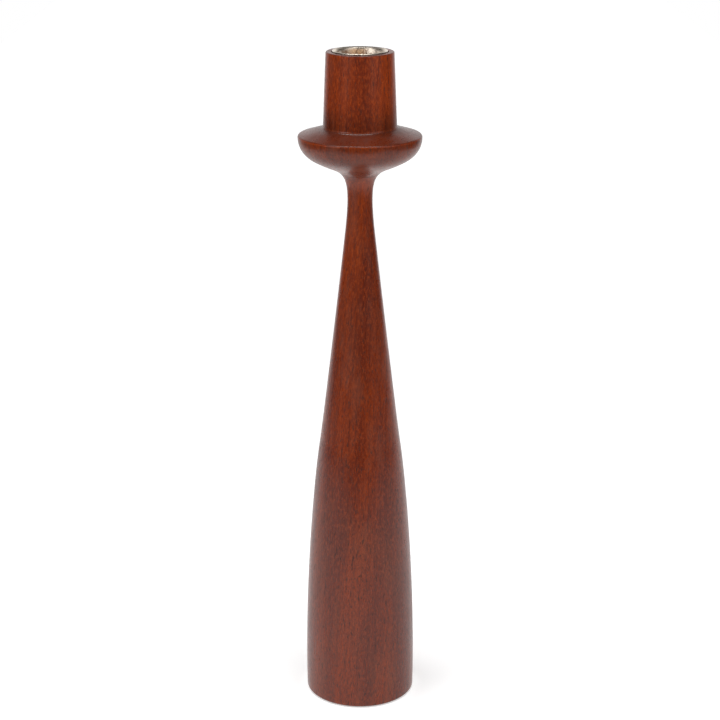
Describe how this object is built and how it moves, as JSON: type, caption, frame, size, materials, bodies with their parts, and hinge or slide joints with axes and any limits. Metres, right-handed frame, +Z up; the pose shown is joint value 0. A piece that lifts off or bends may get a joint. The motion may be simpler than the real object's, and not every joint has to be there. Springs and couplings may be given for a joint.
{
  "type": "candlestick",
  "caption": "Tall turned teak candlestick: tapered column, narrow neck, round drip pan and a tapered socket with a lift-out metal candle cup.",
  "frame": {"origin": "on the table, at the middle of the foot", "axes": "+Z up, along the turning axis from the foot to the candle cup"},
  "size_m": [0.0576, 0.0576, 0.3205],
  "materials": {
    "column_teak": "oiled and rubbed to a satin sheen, fine vertical grain",
    "head_teak": "oiled and rubbed to a satin sheen, fine vertical grain",
    "nickelled_brass": "bright nickel plate, warm and slightly tarnished inside",
    "felt": "pressed wool felt"
  },
  "bodies": {
    "stand": {"column": "column_teak", "head": "head_teak", "felt_pad": "felt"},
    "cup": {"candle_cup": "nickelled_brass"}
  },
  "joints": [
    {"name": "cup_lift", "type": "slide", "parent": "stand", "child": "cup", "axis": [0, 0, 1], "range_m": [0, 0.035]}
  ]
}
